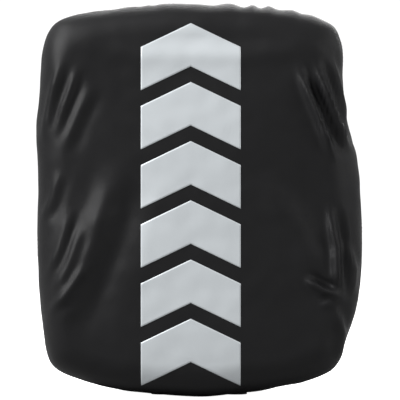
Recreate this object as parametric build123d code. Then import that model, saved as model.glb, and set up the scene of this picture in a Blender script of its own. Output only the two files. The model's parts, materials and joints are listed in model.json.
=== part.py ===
"""Upright motorcycle tail bag, packed full and wearing its fitted rain cover.

Frame: millimetres, +Z up, -Y is the printed face that looks back along the road, +Y is the side that is
strapped to a backrest or rack upright. The origin is the middle of the flat patch that the bag rests on.
"""

import os
from math import cos, radians, sin

from build123d import *

# ---- driving dimensions -------------------------------------------------------------------------------
COVER_HEIGHT = 430.0
COVER_HALF_WIDTH = 178.0
COVER_FRONT_Y = -104.0
COVER_BACK_Y = 97.0
COVER_CLOTH = 1.2
FRONT_ROUND = 36.0
BACK_ROUND = 24.0
FRONT_SEAM_Y = -58.0  # where the front panel meets the side band
GATHER_Y = 70.0  # where the side band starts to gather towards the elastic hem

OPENING_WIDTH = 270.0
OPENING_HEIGHT = 330.0
OPENING_MID_Z = 212.0
OPENING_ROUND = 60.0

BAG_HALF_WIDTH = 165.0
BAG_LOW_Z = 6.0
BAG_HIGH_Z = 408.0
BAG_FRONT_Y = -85.0
BAG_BACK_Y = 92.0
BAG_FRONT_ROUND = 30.0
BAG_BACK_ROUND = 20.0
BAG_WALL = 4.0
BAG_TOP_LAND_Z = 399.0  # the top is flat at this height, for the zip
TOP_SEAM_Z = 380.0  # where the top panel is sewn to the walls

WEBBING_WIDTH = 25.0
WEBBING = 1.6
STRAP_HEIGHTS = {"lower": 140.0, "upper": 270.0}

PARTS = "parts"
os.makedirs(PARTS, exist_ok=True)


def save(name, shape):
    """Writes one sub-part."""
    export_step(shape, f"{PARTS}/{name}.step")


# ---- shared forms -------------------------------------------------------------------------------------
# Right-hand corners of the cover's outline seen from the front, from the resting patch up to the crown:
# X, Z and the bend's radius. The runs between them are short, so the outline is nearly all curve.
CORNERS = [
    (70, 0, 160),
    (158, 27, 60),
    (184, 160, 700),
    (168, 340, 1000),
    (157, 417, 42),
    (80, 430, 300),
]


def outline(half_width, z_low, z_high):
    """The bag's barrel-sided outline as a face in the XZ plane, stretched to the size asked for."""
    across = half_width / COVER_HALF_WIDTH
    up = (z_high - z_low) / COVER_HEIGHT
    right = [(x * across, z_low + z * up) for x, z, _ in CORNERS]
    bends = [radius * across for _, _, radius in CORNERS]
    left = [(-x, z) for x, z in reversed(right)]
    return make_face(FilletPolyline(*right, *left, radius=[*bends, *reversed(bends)], close=True))


def slab(x_low=-400, x_high=400, y_low=-400, y_high=400, z_low=-100, z_high=600):
    """A box given by its limits, used to keep one side of a solid."""
    size = (x_high - x_low, y_high - y_low, z_high - z_low)
    centre = ((x_low + x_high) / 2, (y_low + y_high) / 2, (z_low + z_high) / 2)
    return Pos(*centre) * Box(*size)


def block(face, y_front, y_back):
    """A face of the XZ plane made into a solid between two depths."""
    return extrude(Plane.XZ.offset(-y_back) * face, amount=y_back - y_front)


def edges_at(solid, y_low, y_high):
    """The edges that lie wholly between two depths."""
    found = []
    for edge in solid.edges():
        box = edge.bounding_box()
        if box.min.Y > y_low and box.max.Y < y_high:
            found.append(edge)
    return found


def stuffed_form(half_width, z_low, z_high, y_front, y_back, front_round, back_round):
    """A packed bag's outer form: the outline given depth, with its front and back edges rounded."""
    solid = block(outline(half_width, z_low, z_high), y_front, y_back)
    solid = fillet(edges_at(solid, y_front - 1, y_front + 1), front_round)
    return fillet(edges_at(solid, y_back - 1, y_back + 1), back_round)


def cover_form(inset):
    """The cover's form, taken in on all sides. A negative inset grows it."""
    return stuffed_form(
        COVER_HALF_WIDTH - inset,
        inset,
        COVER_HEIGHT - inset,
        COVER_FRONT_Y + inset,
        COVER_BACK_Y - inset,
        FRONT_ROUND - inset,
        BACK_ROUND - inset,
    )


def bag_form(inset):
    """The bag's form, taken in on all sides, with the flat land for the zip along its top."""
    form = stuffed_form(
        BAG_HALF_WIDTH - inset,
        BAG_LOW_Z + inset,
        BAG_HIGH_Z - inset,
        BAG_FRONT_Y + inset,
        BAG_BACK_Y - inset,
        BAG_FRONT_ROUND - inset,
        BAG_BACK_ROUND - inset,
    )
    return form & slab(z_high=BAG_TOP_LAND_Z - inset)


def rounded_plate(width, height, radius, y_front, y_back, x=0.0, z=0.0):
    """A flat plate facing along Y, with rounded corners."""
    return block(Pos(x, z) * RectangleRounded(width, height, radius), y_front, y_back)


# ---- the rain cover -----------------------------------------------------------------------------------
HEM_RADIUS = 4.0
HEM_Y = 97.6
HEM_EXIT_HALF = 16.0  # the hem tunnel is open this far each side of the middle of its bottom run
ELASTIC_RADIUS = 1.5
TUNNEL_RADIUS = 1.9
CORD_HALF_GAP = 4.0
CORD_END_Z = 14.0
HEM_BOTTOM_Z = OPENING_MID_Z - OPENING_HEIGHT / 2
HEM_TOP_Z = OPENING_MID_Z + OPENING_HEIGHT / 2


# The cloth is pressed in a little behind the cord lock and the cord ends' clip.
LOCK_DENT = slab(x_low=-9, x_high=9, y_low=96.4, z_low=21.5, z_high=34.5)
CLIP_DENT = slab(x_low=-7.5, x_high=7.5, y_low=94.3, z_low=9, z_high=17)


def hem_path(start_x, drop_z=None):
    """The hem's centre line: once round the opening, from one side of the bottom's middle to the other.
    With a drop, both ends also turn down to that height."""
    w = OPENING_WIDTH / 2
    ring = [(w, HEM_BOTTOM_Z), (w, HEM_TOP_Z), (-w, HEM_TOP_Z), (-w, HEM_BOTTOM_Z)]
    radii = [OPENING_ROUND] * 4
    points = [(start_x, HEM_BOTTOM_Z), *ring, (-start_x, HEM_BOTTOM_Z)]
    if drop_z is not None:
        points = [(start_x, drop_z), *points, (-start_x, drop_z)]
        radii = [8, *radii, 8]
    return FilletPolyline(*[(x, HEM_Y, z) for x, z in points], radius=radii)


def tube(path, radius):
    """A round bar along a path."""
    start = path @ 0
    return sweep(Plane(origin=start, z_dir=path % 0) * Circle(radius), path=path)


def build_cover():
    outer = cover_form(0)
    wall = outer - cover_form(COVER_CLOTH)
    wall -= rounded_plate(OPENING_WIDTH, OPENING_HEIGHT, OPENING_ROUND, 80, 120, z=OPENING_MID_Z)
    hem_solid = tube(hem_path(HEM_EXIT_HALF), HEM_RADIUS)
    tunnel = tube(hem_path(HEM_EXIT_HALF), TUNNEL_RADIUS)
    elastic = tube(hem_path(CORD_HALF_GAP, CORD_END_Z), ELASTIC_RADIUS)
    clearance = tube(hem_path(CORD_HALF_GAP, CORD_END_Z), TUNNEL_RADIUS)
    save("cover_front_panel", wall & slab(y_high=FRONT_SEAM_Y))
    save("cover_side_band", wall & slab(y_low=FRONT_SEAM_Y, y_high=GATHER_Y))
    eyelet = Cylinder(HEM_RADIUS + 0.3, 1.2) - Cylinder(TUNNEL_RADIUS, 3)
    eyelet_x = HEM_EXIT_HALF - 0.6
    eyelets = [Pos(x, HEM_Y, HEM_BOTTOM_Z) * Rot(0, 90, 0) * eyelet for x in (-eyelet_x, eyelet_x)]
    skirt = (wall & slab(y_low=GATHER_Y)) - hem_solid - clearance
    for hardware in (*eyelets, LOCK_DENT, CLIP_DENT):
        skirt -= hardware
    save("cover_gathered_skirt", skirt)
    save("hem_tunnel", hem_solid - tunnel)
    save("hem_elastic", elastic)
    save("hem_eyelets", Compound(eyelets))


# The reflective film: six chevrons in one upright column, a little left of the middle.
FILM = 0.25
FILM_MID_X = -9.0
FILM_HALF_WIDTH = 54.0
FILM_FIRST_Z = 14.0
FILM_PITCH = 64.0
FILM_BAND = 47.0
FILM_RISE = 26.0
FILM_COUNT = 6


def chevron(z):
    w, x = FILM_HALF_WIDTH, FILM_MID_X
    low = [(x - w, z), (x, z + FILM_RISE), (x + w, z)]
    high = [(a, b + FILM_BAND) for a, b in reversed(low)]
    return make_face(Polyline(*low, *high, close=True))


def build_film():
    skin = (cover_form(-FILM) - cover_form(0)) & slab(y_high=FRONT_SEAM_Y)
    bands = [skin & block(chevron(FILM_FIRST_Z + n * FILM_PITCH), -120, -40) for n in range(FILM_COUNT)]
    save("reflective_chevrons", Compound([s for band in bands for s in band.solids()]))


# The cord lock: a barrel, a sprung plunger with a cross hole, and the elastic's two ends through both.
LOCK_Z = 28.0
LOCK_Y = 101.5
LOCK_SIZE = (17.0, 9.0, 11.0)
PLUNGER_RADIUS = 3.2
PLUNGER_TRAVEL = 4.0


LOCK_SLOT_HALF = 1.8  # the slot in the lock clears the elastic by 0.3
PLUNGER_CLEARANCE = 0.08
SPRING_RADIUS = 1.9
SPRING_WIRE = 0.25
SPRING_START_X = -6.0
CLIP_SIZE = (14.0, 6.0, 7.0)


def lock_slot(reach):
    """The slot that the elastic's two ends pass through, reaching further towards +X if asked."""
    half = CORD_HALF_GAP + 2.2
    return slab(-half, half + reach, HEM_Y - LOCK_SLOT_HALF, HEM_Y + LOCK_SLOT_HALF, 0, 60)


def build_cord_lock():
    width, depth, height = LOCK_SIZE
    on_its_side = Rot(0, 90, 0)
    barrel = Pos(0, LOCK_Y - 0.4, LOCK_Z) * fillet(Box(width, depth, height).edges(), 2.0)
    well = Cylinder(PLUNGER_RADIUS + PLUNGER_CLEARANCE, width - 1)
    save("cord_lock_barrel", barrel - lock_slot(0) - Pos(1.7, LOCK_Y, LOCK_Z) * on_its_side * well)
    stem = Pos(5.5, LOCK_Y, LOCK_Z) * on_its_side * Cylinder(PLUNGER_RADIUS, width)
    button = Pos(14.6, LOCK_Y, LOCK_Z) * on_its_side * fillet(Cylinder(4.2, 3.6).edges(), 0.9)
    save("cord_lock_plunger", (stem - lock_slot(PLUNGER_TRAVEL)) + button)
    coil = Helix(pitch=0.9, height=2.4, radius=SPRING_RADIUS)
    wire = sweep(Plane(origin=coil @ 0, z_dir=coil % 0) * Circle(SPRING_WIRE), path=coil)
    save("cord_lock_spring", Pos(SPRING_START_X, LOCK_Y, LOCK_Z) * on_its_side * wire)
    clip = Pos(0, HEM_Y, CORD_END_Z - 1) * fillet(Box(*CLIP_SIZE).edges(), 1.4)
    save("cord_end_clip", clip - tube(hem_path(CORD_HALF_GAP, CORD_END_Z), ELASTIC_RADIUS))


# ---- the bag itself -----------------------------------------------------------------------------------
ZIP_HALF = 92.0
ZIP_Y = 2.0
TAPE_WIDTH = 28.0
TAPE = 1.0
COIL_WIDTH = 4.6
COIL_HEIGHT = 1.6
PULL_BAR_Z = 4.3  # the pull's end bar above the tape, inside the slider's bail
POCKET_ZIP_Z = 236.0
POCKET_LAND_Y = -88.8
BOOT_HEIGHT = 50.0
BOOT_WALL = 1.8


LINING = 0.8
FOOT_RADIUS, FOOT_HEIGHT = 13.0, 2.6
FOOT_X, FOOT_FRONT_Y, FOOT_BACK_Y = 40.0, -34.0, 40.0
PIPING = 2.2
PIPING_HALF_WIDTH = 2.0
PIPING_Y = {"front": -56.0, "back": 68.0}
BOARD_HALF_WIDTH, BOARD_FRONT_Y, BOARD_BACK_Y, BOARD = 62.0, -54.0, 68.0, 3.0
SHEET_SIZE, SHEET_ROUND, SHEET_MID_Z, SHEET = (250.0, 320.0), 40.0, 205.0, 1.5


def build_shell():
    slot = slab(-ZIP_HALF, ZIP_HALF, ZIP_Y - 6, ZIP_Y + 6, BAG_TOP_LAND_Z - 20, BAG_TOP_LAND_Z + 20)
    outer = bag_form(0)
    wall = outer - bag_form(BAG_WALL) - slot
    save("bag_shell", wall & slab(z_high=TOP_SEAM_Z))
    save("bag_top_panel", wall & slab(z_low=TOP_SEAM_Z))
    save("bag_lining", bag_form(BAG_WALL + 0.1) - bag_form(BAG_WALL + 0.1 + LINING) - slot)
    boot = stuffed_form(
        BAG_HALF_WIDTH + BOOT_WALL,
        BAG_LOW_Z - BOOT_WALL,
        BAG_HIGH_Z + BOOT_WALL,
        BAG_FRONT_Y - BOOT_WALL,
        BAG_BACK_Y,
        BAG_FRONT_ROUND + BOOT_WALL,
        BAG_BACK_ROUND,
    )
    save("base_boot", (boot - outer) & slab(z_high=BOOT_HEIGHT))

    foot = Cylinder(FOOT_RADIUS, FOOT_HEIGHT)
    foot = fillet(foot.edges().sort_by(Axis.Z)[:1], 0.8)
    foot_z = BAG_LOW_Z - BOOT_WALL - FOOT_HEIGHT / 2
    feet = [Pos(x, y, foot_z) * foot for x in (-FOOT_X, FOOT_X) for y in (FOOT_FRONT_Y, FOOT_BACK_Y)]
    save("base_feet", Compound(feet))

    ring = outline(BAG_HALF_WIDTH + PIPING, BAG_LOW_Z - PIPING, BAG_HIGH_Z + PIPING)
    above_boot = slab(z_low=BOOT_HEIGHT, z_high=BAG_TOP_LAND_Z + PIPING)
    for name, y in PIPING_Y.items():
        band = block(ring, y - PIPING_HALF_WIDTH, y + PIPING_HALF_WIDTH)
        save(f"{name}_piping", (band - outer) & above_boot)

    board_z = BAG_LOW_Z + BAG_WALL + 2.8  # clear of the lining where the bottom starts to rise
    board = slab(-BOARD_HALF_WIDTH, BOARD_HALF_WIDTH, BOARD_FRONT_Y, BOARD_BACK_Y, board_z, board_z + BOARD)
    save("base_board", board)
    inner_back = BAG_BACK_Y - BAG_WALL - 0.1 - LINING
    sheet = rounded_plate(*SHEET_SIZE, SHEET_ROUND, inner_back - 0.2 - SHEET, inner_back - 0.2, z=SHEET_MID_Z)
    save("frame_sheet", sheet)


def zip_coil(length):
    """A closed coil as a rounded ridge along X, standing on z = 0."""
    ridge = Pos(0, 0, COIL_HEIGHT / 2) * Box(length, COIL_WIDTH, COIL_HEIGHT)
    return fillet(ridge.edges().filter_by(Axis.X).sort_by(Axis.Z)[-2:], 0.6)


def zip_slider(bail_turn=0):
    """The slider that rides over the coil, with the bail that carries its pull. The tape is z = 0."""
    body = Pos(0, 0, 1.75) * Box(11, 9.4, 2.9)
    body = fillet(body.edges().filter_by(Axis.Z), 2.4)
    body -= Pos(0, 0, COIL_HEIGHT / 2) * Box(20, COIL_WIDTH + 0.6, COIL_HEIGHT + 0.6)
    bail = Pos(0, 0, 4.3) * Box(7, 2.2, 3.6) - Pos(0, 0, PULL_BAR_Z) * Box(4.4, 5, 2.4)
    return body + Rot(0, 0, bail_turn) * bail


def zip_pull():
    """The pull, lying along +X from the bail, its eye round the bail's top bar."""
    tab = Pos(13, 0, PULL_BAR_Z) * Box(27.6, 7, 1.3)
    tab = fillet(tab.edges().filter_by(Axis.Z), 2.0)
    eye = Pos(2.7, 0, PULL_BAR_Z) * Box(3.8, 3.2, 4)
    hole = Pos(21, 0, PULL_BAR_Z) * Cylinder(1.8, 4)
    return tab - eye - hole


def build_top_zip():
    at = Pos(0, ZIP_Y, BAG_TOP_LAND_Z)
    tape = Pos(0, 0, TAPE / 2) * Box(2 * ZIP_HALF + 16, TAPE_WIDTH, TAPE)
    lift = Pos(0, 0, TAPE)
    save("top_zip_tape", at * fillet(tape.edges().filter_by(Axis.Z), 4))
    save("top_zip_coil", at * lift * zip_coil(2 * ZIP_HALF))
    slider_at = at * lift * Pos(ZIP_HALF - 12, 0, 0.1)
    save("top_zip_slider", slider_at * zip_slider())
    save("top_zip_pull", slider_at * zip_pull())


POCKET_PROUD = 7.0
POCKET_WIDTH, POCKET_HEIGHT, POCKET_ROUND, POCKET_MID_Z = 236.0, 184.0, 34.0, 160.0
POCKET_ABOVE_BOOT = 14.0
POCKET_TAPE = (196.0, 24.0)
POCKET_COIL = 182.0
POCKET_SLIDER_X = 80.0


def build_pocket():
    proud = stuffed_form(
        BAG_HALF_WIDTH,
        BAG_LOW_Z,
        BAG_HIGH_Z,
        BAG_FRONT_Y - POCKET_PROUD,
        BAG_BACK_Y,
        BAG_FRONT_ROUND,
        BAG_BACK_ROUND,
    )
    pocket = proud & rounded_plate(POCKET_WIDTH, POCKET_HEIGHT, POCKET_ROUND, -140, -60, z=POCKET_MID_Z)
    pocket -= bag_form(0)
    tape_land = slab(-104, 104, -120, POCKET_LAND_Y, POCKET_ZIP_Z - 16, POCKET_ZIP_Z + 30)
    below = slab(z_high=BOOT_HEIGHT + POCKET_ABOVE_BOOT)
    save("front_pocket", pocket - tape_land - below)

    at = Pos(0, POCKET_LAND_Y, POCKET_ZIP_Z) * Rot(90, 0, 0)
    tape = Pos(0, 0, TAPE / 2) * Box(*POCKET_TAPE, TAPE)
    lift = Pos(0, 0, TAPE)
    save("pocket_zip_tape", at * fillet(tape.edges().filter_by(Axis.Z), 3))
    save("pocket_zip_coil", at * lift * zip_coil(POCKET_COIL))
    slider_at = at * lift * Pos(POCKET_SLIDER_X, 0, 0.1)
    save("pocket_zip_slider", slider_at * zip_slider(bail_turn=-90))
    save("pocket_zip_pull", slider_at * Rot(0, 0, -90) * zip_pull())


# ---- the back, where the bag is strapped on -----------------------------------------------------------
PANEL_FACE_Y = 93.2
PANEL_HALF_WIDTH = BAG_HALF_WIDTH - 17.0
PANEL_LOW_Z, PANEL_HIGH_Z = 24.0, 390.0
PAD_FACE_Y = 101.5
PAD_X = 50.0
PAD_WIDTH = 76.0
PAD_LOW_Z, PAD_HIGH_Z = 78.0, 306.0
HANDLE_Z = 350.0
HANDLE_Y = 98.5
HANDLE_HANG = 75.0  # degrees below level at rest
RING_WIRE = 1.75
RING_HALF_WIDTH = 11.75
RING_DROP = 18.0
RING_BEND = 10.0
RING_X = 110.0
RING_BAR_HEIGHTS = (100.0, 325.0)
RING_Y = 95.9


def build_back():
    panel = block(outline(PANEL_HALF_WIDTH, PANEL_LOW_Z, PANEL_HIGH_Z), BAG_BACK_Y, PANEL_FACE_Y)
    save("back_panel", panel)
    pads = []
    for side in (-1, 1):
        height = PAD_HIGH_Z - PAD_LOW_Z
        middle = (PAD_HIGH_Z + PAD_LOW_Z) / 2
        pad = rounded_plate(PAD_WIDTH, height, 20, PANEL_FACE_Y, PAD_FACE_Y, side * PAD_X, middle)
        pads.append(fillet(edges_at(pad, PAD_FACE_Y - 0.5, PAD_FACE_Y + 0.5), 4))
    save("back_pads", Compound([s for pad in pads for s in pad.solids()]))


HANDLE_RADIUS = 3.2
GRIP_RADIUS, GRIP_LENGTH = 8.0, 58.0
HANDLE_SWEEP = [(-66, 0), (-50, 0), (-40, 28), (40, 28), (50, 0), (66, 0)]  # X, and distance out from the hinge
HANDLE_TAB_X = 60.0
HANDLE_TAB_HALF = 5.5
HANDLE_RUNNING_FIT = 0.08


def build_handle():
    hang = radians(HANDLE_HANG)
    points = [(x, HANDLE_Y + r * cos(hang), HANDLE_Z - r * sin(hang)) for x, r in HANDLE_SWEEP]
    path = FilletPolyline(*points, radius=[6, 12, 12, 6])
    save("handle_core", tube(path, HANDLE_RADIUS))
    grip = Cylinder(GRIP_RADIUS, GRIP_LENGTH) - Cylinder(HANDLE_RADIUS, GRIP_LENGTH + 2)
    grip = fillet(grip.edges().filter_by(GeomType.CIRCLE).group_by(SortBy.RADIUS)[-1], 2)
    _, grip_y, grip_z = points[2]
    save("handle_grip", Pos(0, grip_y, grip_z) * Rot(0, 90, 0) * grip)
    tabs = []
    for x in (-HANDLE_TAB_X, HANDLE_TAB_X):
        tab = slab(-HANDLE_TAB_HALF, HANDLE_TAB_HALF, PANEL_FACE_Y, HANDLE_Y + 5.2, HANDLE_Z - 6, HANDLE_Z + 17)
        tab = Pos(x, 0, 0) * fillet(tab.edges().filter_by(Axis.X), 1.2)
        tab -= Pos(x, HANDLE_Y, HANDLE_Z) * Rot(0, 90, 0) * Cylinder(HANDLE_RADIUS + HANDLE_RUNNING_FIT, 40)
        tabs += tab.solids()
    save("handle_tabs", Compound(tabs))


RING_TAB_HALF = 7.0


def build_rings():
    tabs = []
    for height, level in zip(RING_BAR_HEIGHTS, ("lower", "upper")):
        for side, hand in ((-1, "left"), (1, "right")):
            x = side * RING_X
            w, drop = RING_HALF_WIDTH, RING_DROP
            corners = [(-w, 0), (w, 0), (w, -drop), (-w, -drop)]
            points = [(x + u, RING_Y, height + v) for u, v in corners]
            path = FilletPolyline(*points, radius=[3, 3, RING_BEND, RING_BEND], close=True)
            save(f"d_ring_{level}_{hand}", tube(path, RING_WIRE))
            left, right = x - RING_TAB_HALF, x + RING_TAB_HALF
            tab = slab(left, right, PANEL_FACE_Y, RING_Y + 2.9, height - 3, height + 20)
            tab = fillet(tab.edges().filter_by(Axis.X), 0.9)
            tab -= Pos(x, RING_Y, height) * Rot(0, 90, 0) * Cylinder(RING_WIRE + 0.08, 40)
            tabs += tab.solids()
    save("d_ring_tabs", Compound(tabs))


def webbing(points, z):
    """A strap seen edge-on as points in X and Y, given the webbing's thickness and width."""
    line = Polyline(*points)
    face = trace(line, line_width=WEBBING)
    low = z - WEBBING_WIDTH / 2
    return extrude(Plane.XY.offset(low) * face, amount=WEBBING_WIDTH)


# Side-release buckle: +X is the female half, which stays on the bag. Depths are measured from the pads.
BUCKLE_Y = 104.9
BUCKLE_DEPTH = 10.6
BUCKLE_WIDTH = 35.0
BAR_DEPTH = 3.4


BUCKLE_WALL = 2.2
SLOT_HALF = 13.2  # half the slot's length, for 25 mm webbing
MALE_SLOTS = [(-30.5, 4.2), (-20.5, 6.0)]  # where each strap slot starts, and its width
ARM_Z = 11.0
ARM_HALF = 2.6
GUIDE_HALF = 3.0
PRONG_LOW, PRONG_HIGH = 2.7, 7.9  # the prongs' depths above the buckle's underside


def buckle_female(z):
    """The housing that stays on the right-hand strap: a sleeve with side windows, and a bar frame behind."""
    low, high = BUCKLE_Y, BUCKLE_Y + BUCKLE_DEPTH
    half = BUCKLE_WIDTH / 2
    sleeve = slab(-4, 22, low, high, z - half, z + half)
    sleeve = fillet(sleeve.edges().filter_by(Axis.X), 3.2)
    frame = slab(20, 34, low, low + BAR_DEPTH + 0.6, z - half, z + half)
    frame = fillet(frame.edges().filter_by(Axis.Y).sort_by(Axis.X)[-2:], 3)
    mouth = slab(-10, 18, low + BUCKLE_WALL, high - BUCKLE_WALL, z - 14.2, z + 14.2)
    windows = slab(5, 16, low + BUCKLE_WALL, high - BUCKLE_WALL, z - half - 5, z + half + 5)
    strap_slot = slab(23.4, 27.6, low - 1, high + 1, z - SLOT_HALF, z + SLOT_HALF)
    return sleeve + frame - mouth - windows - strap_slot


def buckle_male(z):
    """The half that slides out: a ladder frame with two strap slots, two arms and a middle guide."""
    low = BUCKLE_Y
    half = BUCKLE_WIDTH / 2
    base = slab(-35, -4.4, low, low + 7, z - half, z + half)
    base = fillet(base.edges().filter_by(Axis.Y), 3)
    thinned = slab(-40, -12, low + BAR_DEPTH + 0.6, low + 9, z - SLOT_HALF, z + SLOT_HALF)
    base -= thinned
    for slot_x, slot_width in MALE_SLOTS:
        base -= slab(slot_x, slot_x + slot_width, low - 1, low + 9, z - SLOT_HALF, z + SLOT_HALF)
    solid = base + slab(-5, 15.5, low + PRONG_LOW, low + PRONG_HIGH, z - GUIDE_HALF, z + GUIDE_HALF)
    for side in (-1, 1):
        middle = z + side * ARM_Z
        arm = slab(-5, 14.5, low + PRONG_LOW, low + PRONG_HIGH, middle - ARM_HALF, middle + ARM_HALF)
        solid += fillet(arm.edges().filter_by(Axis.Y).sort_by(Axis.X)[-2:], 1.8)
    return solid


def build_straps():
    flat = PAD_FACE_Y + 1.2 + WEBBING / 2
    sewn = PANEL_FACE_Y + WEBBING / 2
    over = BUCKLE_Y + BAR_DEPTH + 0.9 + WEBBING / 2
    for level, z in STRAP_HEIGHTS.items():
        save(f"buckle_female_{level}", buckle_female(z))
        save(f"buckle_male_{level}", buckle_male(z))
        right = [(124, sewn), (106, sewn), (94, flat), (25.6, flat), (25.6, over)]
        right += [(44, over), (50, flat + 1.8), (72, flat + 1.8)]
        left = [(-124, sewn), (-106, sewn), (-94, flat), (-17.5, flat), (-17.5, over)]
        left += [(-36, over), (-46, flat + 1.8), (-90, flat + 1.8)]
        save(f"strap_{level}_right", webbing(right, z))
        save(f"strap_{level}_left", webbing(left, z))
        keeper = slab(-79, -71, flat - 1.9, flat + 3.9, z - 15, z + 15)
        keeper -= slab(-90, -60, flat - 0.9, flat + 2.8, z - 12.9, z + 12.9)
        save(f"strap_keeper_{level}", keeper)


build_cover()
build_film()
build_cord_lock()
build_shell()
build_top_zip()
build_pocket()
build_back()
build_handle()
build_rings()
build_straps()
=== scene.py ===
"""Upright tail bag, packed full and wearing its rain cover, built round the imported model."""

import json
import math

import bmesh
import bpy
import numpy as np
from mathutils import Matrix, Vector, noise


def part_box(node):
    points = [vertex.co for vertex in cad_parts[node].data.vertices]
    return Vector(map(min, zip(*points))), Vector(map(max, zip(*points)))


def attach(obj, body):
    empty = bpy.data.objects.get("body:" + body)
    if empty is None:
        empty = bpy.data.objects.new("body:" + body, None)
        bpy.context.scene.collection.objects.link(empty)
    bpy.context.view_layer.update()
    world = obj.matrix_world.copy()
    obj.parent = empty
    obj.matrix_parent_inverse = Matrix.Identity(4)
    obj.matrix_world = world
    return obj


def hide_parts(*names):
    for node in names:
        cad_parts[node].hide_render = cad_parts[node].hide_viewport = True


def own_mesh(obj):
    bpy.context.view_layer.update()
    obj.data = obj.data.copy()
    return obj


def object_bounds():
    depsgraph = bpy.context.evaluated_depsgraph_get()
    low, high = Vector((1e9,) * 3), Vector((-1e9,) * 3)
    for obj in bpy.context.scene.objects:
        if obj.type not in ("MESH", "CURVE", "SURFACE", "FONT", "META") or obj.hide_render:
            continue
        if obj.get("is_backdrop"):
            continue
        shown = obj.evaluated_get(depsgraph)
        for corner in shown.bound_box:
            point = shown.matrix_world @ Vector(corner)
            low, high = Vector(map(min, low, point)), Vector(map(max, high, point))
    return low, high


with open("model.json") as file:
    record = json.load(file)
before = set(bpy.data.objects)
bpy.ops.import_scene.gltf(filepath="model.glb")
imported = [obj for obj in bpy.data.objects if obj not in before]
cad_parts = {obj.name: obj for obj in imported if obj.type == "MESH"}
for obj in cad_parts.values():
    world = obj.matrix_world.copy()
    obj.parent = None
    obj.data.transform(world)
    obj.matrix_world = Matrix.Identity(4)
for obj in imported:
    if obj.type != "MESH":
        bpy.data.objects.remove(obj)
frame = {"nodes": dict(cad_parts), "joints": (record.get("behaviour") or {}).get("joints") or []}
cad_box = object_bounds()
bpy.ops.object.select_all(action="DESELECT")

# ---- Room, light and camera ---------------------------------------------------------------------------
# A white surround and floor, one large soft light high on the left and a weaker one on the right. The camera
# sees both as even white, but they light the bag less than that, which keeps its black cloth dark.
FLOOR_SEEN, FLOOR_CAST = 0.92, 0.35
FLOOR_GLOW_SEEN, FLOOR_GLOW_CAST = 1.0, 0.0
SURROUND_SEEN, SURROUND_CAST = 1.1, 0.62


def seen_and_cast(tree, socket, seen, cast):
    """Gives a value one strength as the camera sees it, and another as it lights the bag."""
    path = tree.nodes.new("ShaderNodeLightPath")
    choice = tree.nodes.new("ShaderNodeMapRange")
    choice.inputs["To Min"].default_value = cast
    choice.inputs["To Max"].default_value = seen
    tree.links.new(path.outputs["Is Camera Ray"], choice.inputs["Value"])
    tree.links.new(choice.outputs["Result"], socket)


bpy.ops.mesh.primitive_plane_add(size=60, location=(0, 0, 0))
floor = bpy.context.object
floor.name = "studio_floor"
floor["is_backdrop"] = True
floor_paint = bpy.data.materials.new("studio_floor")
floor_paint.use_nodes = True
floor_shader = floor_paint.node_tree.nodes["Principled BSDF"]
floor_shader.inputs["Roughness"].default_value = 0.8
floor_shader.inputs["Emission Color"].default_value = (1, 1, 1, 1)
seen_and_cast(floor_paint.node_tree, floor_shader.inputs["Base Color"], FLOOR_SEEN, FLOOR_CAST)
glow = floor_shader.inputs["Emission Strength"]
seen_and_cast(floor_paint.node_tree, glow, FLOOR_GLOW_SEEN, FLOOR_GLOW_CAST)
floor.data.materials.append(floor_paint)

world = bpy.data.worlds.new("white_surround")
world.use_nodes = True
surround = world.node_tree.nodes["Background"]
surround.inputs["Color"].default_value = (1, 1, 1, 1)
seen_and_cast(world.node_tree, surround.inputs["Strength"], SURROUND_SEEN, SURROUND_CAST)
bpy.context.scene.world = world
bpy.context.scene.view_settings.view_transform = "Standard"

STUDIO_LIGHTS = {
    "key": ((-1.8, -0.95, 1.7), 0.7, 92),
    "fill": ((1.9, -0.6, 0.9), 0.6, 14),
    "back": ((0.4, 1.9, 1.5), 1.4, 26),
}
for light_name, (place, size, watts) in STUDIO_LIGHTS.items():
    bpy.ops.object.light_add(type="AREA", location=place)
    lamp = bpy.context.object
    lamp.name = light_name
    lamp.data.size = size
    lamp.data.energy = watts
    aim = Vector((0, 0, 0.22)) - Vector(place)
    lamp.rotation_euler = aim.to_track_quat("-Z", "Y").to_euler()

CAMERA_AWAY = 3.2
CAMERA_HEIGHT = 0.17
SEEN_WIDTH = 0.4435  # what the frame takes in, at the middle of the bag's side
SEEN_MIDDLE = 0.2165
bpy.ops.object.camera_add(location=(0.001, -CAMERA_AWAY, CAMERA_HEIGHT))
camera = bpy.context.object
camera.data.sensor_width = 36
camera.data.lens = 36 * (CAMERA_AWAY - 0.03) / SEEN_WIDTH
camera.rotation_euler = (math.radians(90), 0, 0)
camera.data.shift_y = (SEEN_MIDDLE - CAMERA_HEIGHT) / SEEN_WIDTH
bpy.context.scene.camera = camera

# ---- Cover cloth --------------------------------------------------------------------------------------
# One continuous skin of thin black coated nylon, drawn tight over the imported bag: a bulging front panel,
# a side band and a skirt that gathers into the elastic hem at the back. Tension lines run from its corners.
cover_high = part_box("cover_gathered_skirt")[1]
FRONT_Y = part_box("cover_front_panel")[0].y
BACK_Y = cover_high.y
FRONT_ROUND = 0.036
BACK_ROUND = 0.024
MIDDLE = np.array([0.0, 0.215])
AROUND = 372  # points round the outline

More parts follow.
